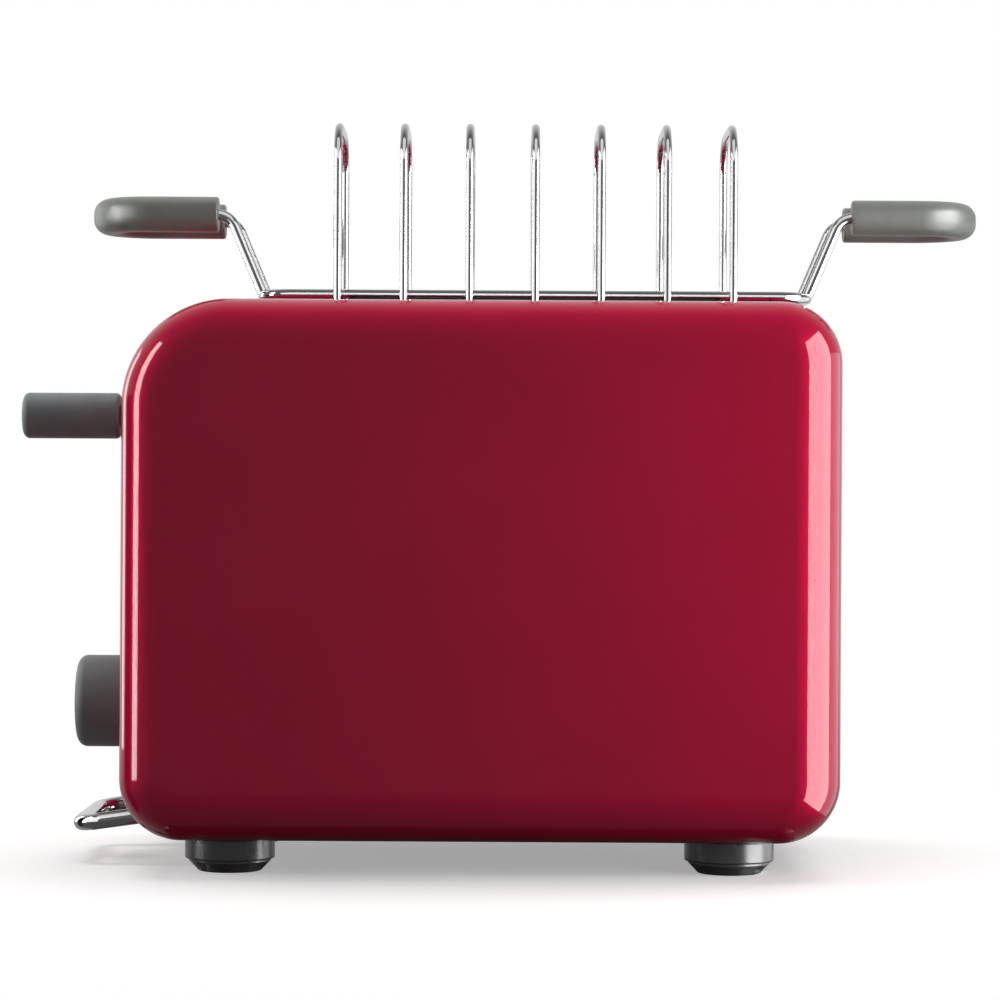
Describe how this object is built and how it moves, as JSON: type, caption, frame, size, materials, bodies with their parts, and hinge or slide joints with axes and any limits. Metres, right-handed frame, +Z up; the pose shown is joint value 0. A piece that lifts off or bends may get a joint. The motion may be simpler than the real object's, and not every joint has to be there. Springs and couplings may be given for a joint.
{
  "type": "toaster",
  "caption": "Two-slot toaster with a rounded gloss-enamel casing, side lever, browning dial, push buttons, slide-out crumb tray and a lift-off wire toast rack with grips.",
  "frame": {"origin": "on the table, under the middle of the casing", "axes": "+X along the bread slots, away from the lever; +Y across the slots, away from the pictured side; +Z up"},
  "size_m": [0.3538, 0.17, 0.2708],
  "materials": {
    "red_paint": "high-gloss crimson enamel",
    "soft_grey": "satin soft-touch moulding",
    "foot_grey": "semi-gloss moulding",
    "chrome": "bright chromed wire",
    "steel": "plain rolled sheet",
    "dark_steel": "zinc-phosphated sheet",
    "black_plastic": "fine-textured moulding",
    "mica": "flaky mica sheet",
    "nichrome": "oxidised resistance ribbon",
    "copper": "enamelled copper winding",
    "board_green": "lacquered board"
  },
  "bodies": {
    "casing": {"front_shell": "red_paint", "rear_shell": "red_paint", "top_deck": "red_paint", "control_end": "red_paint", "far_end": "red_paint", "base_plate": "dark_steel", "foot_front_left": "foot_grey", "foot_front_right": "foot_grey", "foot_rear_left": "foot_grey", "foot_rear_right": "foot_grey", "foot_screws": "steel", "slot_liner": "steel", "lever_frame_plate": "steel", "far_frame_plate": "steel", "front_element_card": "mica", "middle_element_card": "mica", "rear_element_card": "mica", "front_element_ribbon": "nichrome", "middle_element_ribbon": "nichrome", "rear_element_ribbon": "nichrome", "front_heat_shield": "steel", "rear_heat_shield": "steel", "mechanism_shelf": "steel", "rod_bracket": "steel", "guide_rod": "chrome", "carriage_spring": "steel", "magnet_core": "dark_steel", "magnet_coil": "copper", "circuit_board": "board_green", "board_screws": "steel", "tact_switches": "black_plastic", "potentiometer": "dark_steel", "cord_gland": "black_plastic", "mains_terminal": "black_plastic"},
    "carriage": {"carriage": "steel", "carriage_bush": "black_plastic", "front_bread_rest": "steel", "rear_bread_rest": "steel", "lever_arm": "dark_steel", "lever_knob": "soft_grey", "keeper_plate": "dark_steel"},
    "guide_front_outer": {"guide_front_outer": "chrome"},
    "guide_front_inner": {"guide_front_inner": "chrome"},
    "guide_rear_inner": {"guide_rear_inner": "chrome"},
    "guide_rear_outer": {"guide_rear_outer": "chrome"},
    "dial": {"dial_shaft": "steel", "dial_knob": "soft_grey"},
    "cancel_button": {"cancel_button": "soft_grey"},
    "reheat_button": {"reheat_button": "soft_grey"},
    "defrost_button": {"defrost_button": "soft_grey"},
    "tray": {"crumb_tray": "steel", "tray_front": "red_paint", "tray_pull": "chrome"},
    "rack": {"rack_ring": "chrome", "rack_loops": "chrome", "rack_left_arms": "chrome", "rack_right_arms": "chrome", "rack_left_grip": "soft_grey", "rack_right_grip": "soft_grey"}
  },
  "joints": [
    {"name": "lever_slide", "type": "slide", "parent": "casing", "child": "carriage", "axis": [0, 0, 1], "range_m": [-0.062, 0], "stiffness_N_per_m": 60, "springref_m": 0.05, "deforming": ["carriage_spring"]},
    {"name": "dial_turn", "type": "hinge", "parent": "casing", "child": "dial", "pos_m": [-0.127, 0, 0.057], "axis": [-1, 0, 0], "range_deg": [-135, 135]},
    {"name": "tray_slide", "type": "slide", "parent": "casing", "child": "tray", "axis": [-1, 0, 0], "range_m": [0, 0.225]},
    {"name": "rack_lift", "type": "slide", "parent": "casing", "child": "rack", "axis": [0, 0, 1], "range_m": [0, 0.08]},
    {"name": "cancel_press", "type": "slide", "parent": "casing", "child": "cancel_button", "axis": [1, 0, 0], "range_m": [0, 0.002], "stiffness_N_per_m": 200, "springref_m": -0.002},
    {"name": "reheat_press", "type": "slide", "parent": "casing", "child": "reheat_button", "axis": [1, 0, 0], "range_m": [0, 0.002], "stiffness_N_per_m": 200, "springref_m": -0.002},
    {"name": "defrost_press", "type": "slide", "parent": "casing", "child": "defrost_button", "axis": [1, 0, 0], "range_m": [0, 0.002], "stiffness_N_per_m": 200, "springref_m": -0.002},
    {"name": "guide_front_outer_lean", "type": "hinge", "parent": "casing", "child": "guide_front_outer", "pos_m": [0.019, -0.044, 0.06], "axis": [-1, 0, 0], "range_deg": [0, 3.5]},
    {"name": "guide_front_inner_lean", "type": "hinge", "parent": "casing", "child": "guide_front_inner", "pos_m": [0.019, -0.01, 0.06], "axis": [1, 0, 0], "range_deg": [0, 3.5]},
    {"name": "guide_rear_inner_lean", "type": "hinge", "parent": "casing", "child": "guide_rear_inner", "pos_m": [0.019, 0.01, 0.06], "axis": [-1, 0, 0], "range_deg": [0, 3.5]},
    {"name": "guide_rear_outer_lean", "type": "hinge", "parent": "casing", "child": "guide_rear_outer", "pos_m": [0.019, 0.044, 0.06], "axis": [1, 0, 0], "range_deg": [0, 3.5]}
  ],
  "couplings": [
    {"joint": "guide_front_outer_lean", "follows": "lever_slide", "rad_per_m": -0.984},
    {"joint": "guide_front_inner_lean", "follows": "lever_slide", "rad_per_m": -0.984},
    {"joint": "guide_rear_inner_lean", "follows": "lever_slide", "rad_per_m": -0.984},
    {"joint": "guide_rear_outer_lean", "follows": "lever_slide", "rad_per_m": -0.984}
  ]
}
